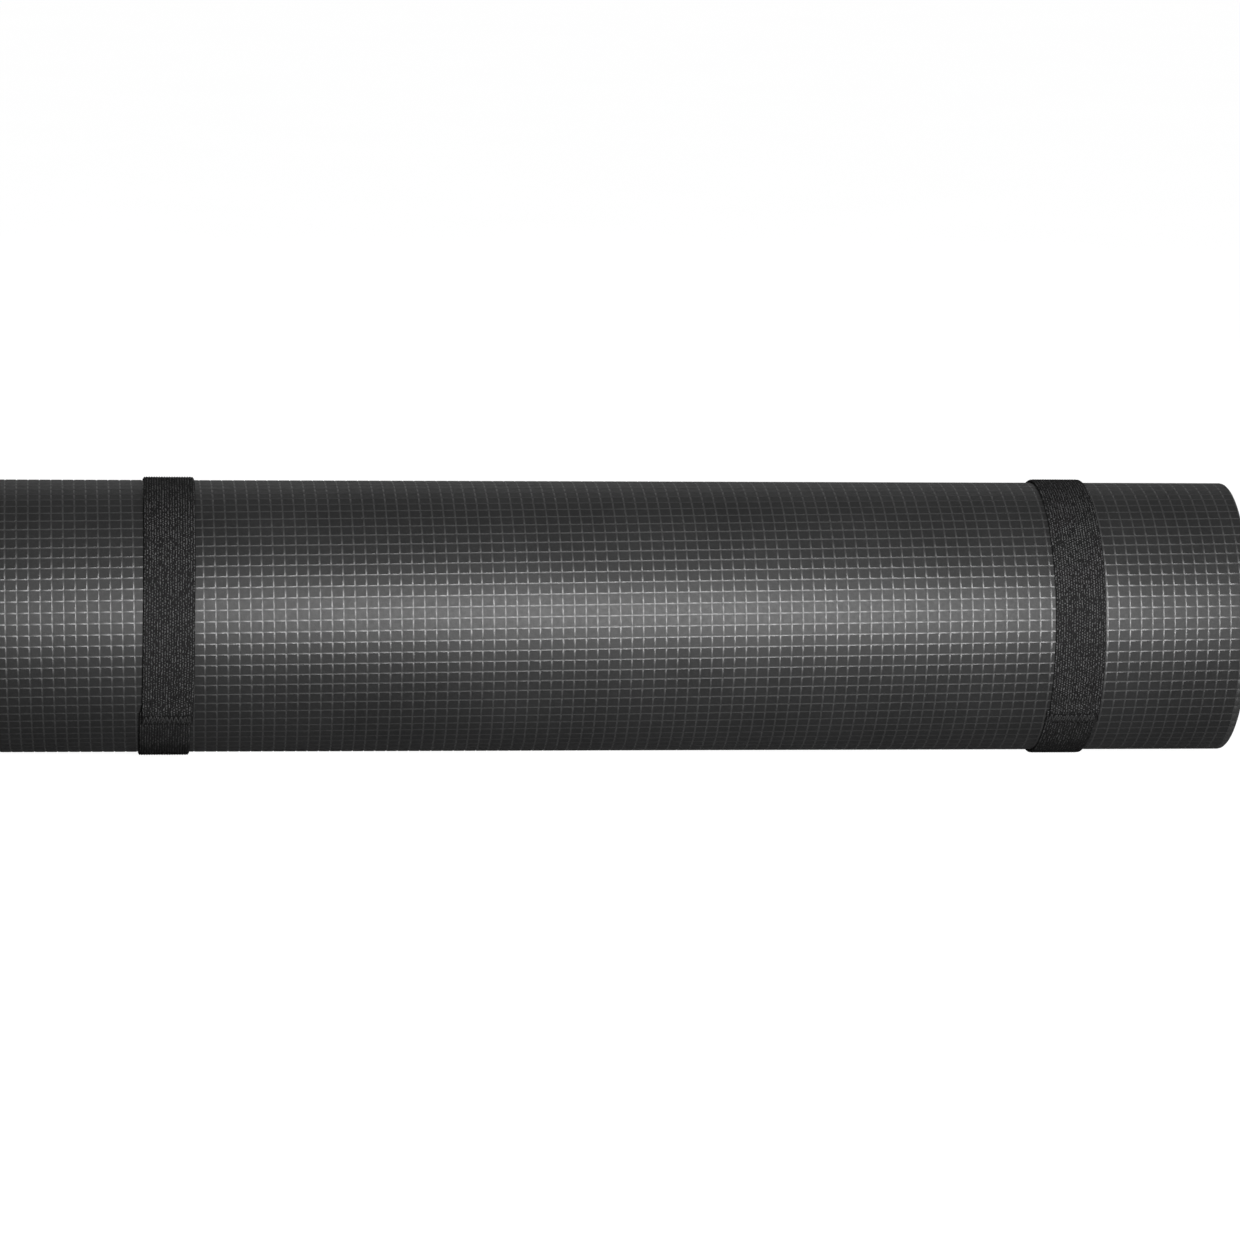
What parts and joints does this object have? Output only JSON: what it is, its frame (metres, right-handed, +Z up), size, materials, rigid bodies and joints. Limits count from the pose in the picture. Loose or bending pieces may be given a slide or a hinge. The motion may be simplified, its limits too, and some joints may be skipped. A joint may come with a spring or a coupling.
{
  "type": "foam sleeping pad",
  "caption": "Closed-cell foam sleeping pad with a grid-embossed face, rolled into a cylinder and held by elastic straps that slide along it.",
  "frame": {"origin": "middle of the bounding box at the level of the straps' lowest points, which the roll rests on", "axes": "+X along the roll towards its right end, +Y to the back, +Z up"},
  "size_m": [0.6, 0.1304, 0.1331],
  "materials": {
    "foam": "closed-cell foam, embossed, dull satin",
    "webbing": "woven elastic, ribbed along its length, dull",
    "thread": "twisted sewing thread"
  },
  "bodies": {
    "roll": {"foam_pad": "foam"},
    "left_strap": {"left_strap_webbing": "webbing", "left_strap_stitching": "thread"},
    "right_strap": {"right_strap_webbing": "webbing", "right_strap_stitching": "thread"}
  },
  "joints": [
    {"name": "left_strap_slide", "type": "slide", "parent": "roll", "child": "left_strap", "axis": [1, 0, 0], "range_m": [-0.115, 0.19]},
    {"name": "right_strap_slide", "type": "slide", "parent": "roll", "child": "right_strap", "axis": [1, 0, 0], "range_m": [-0.19, 0.115]}
  ]
}
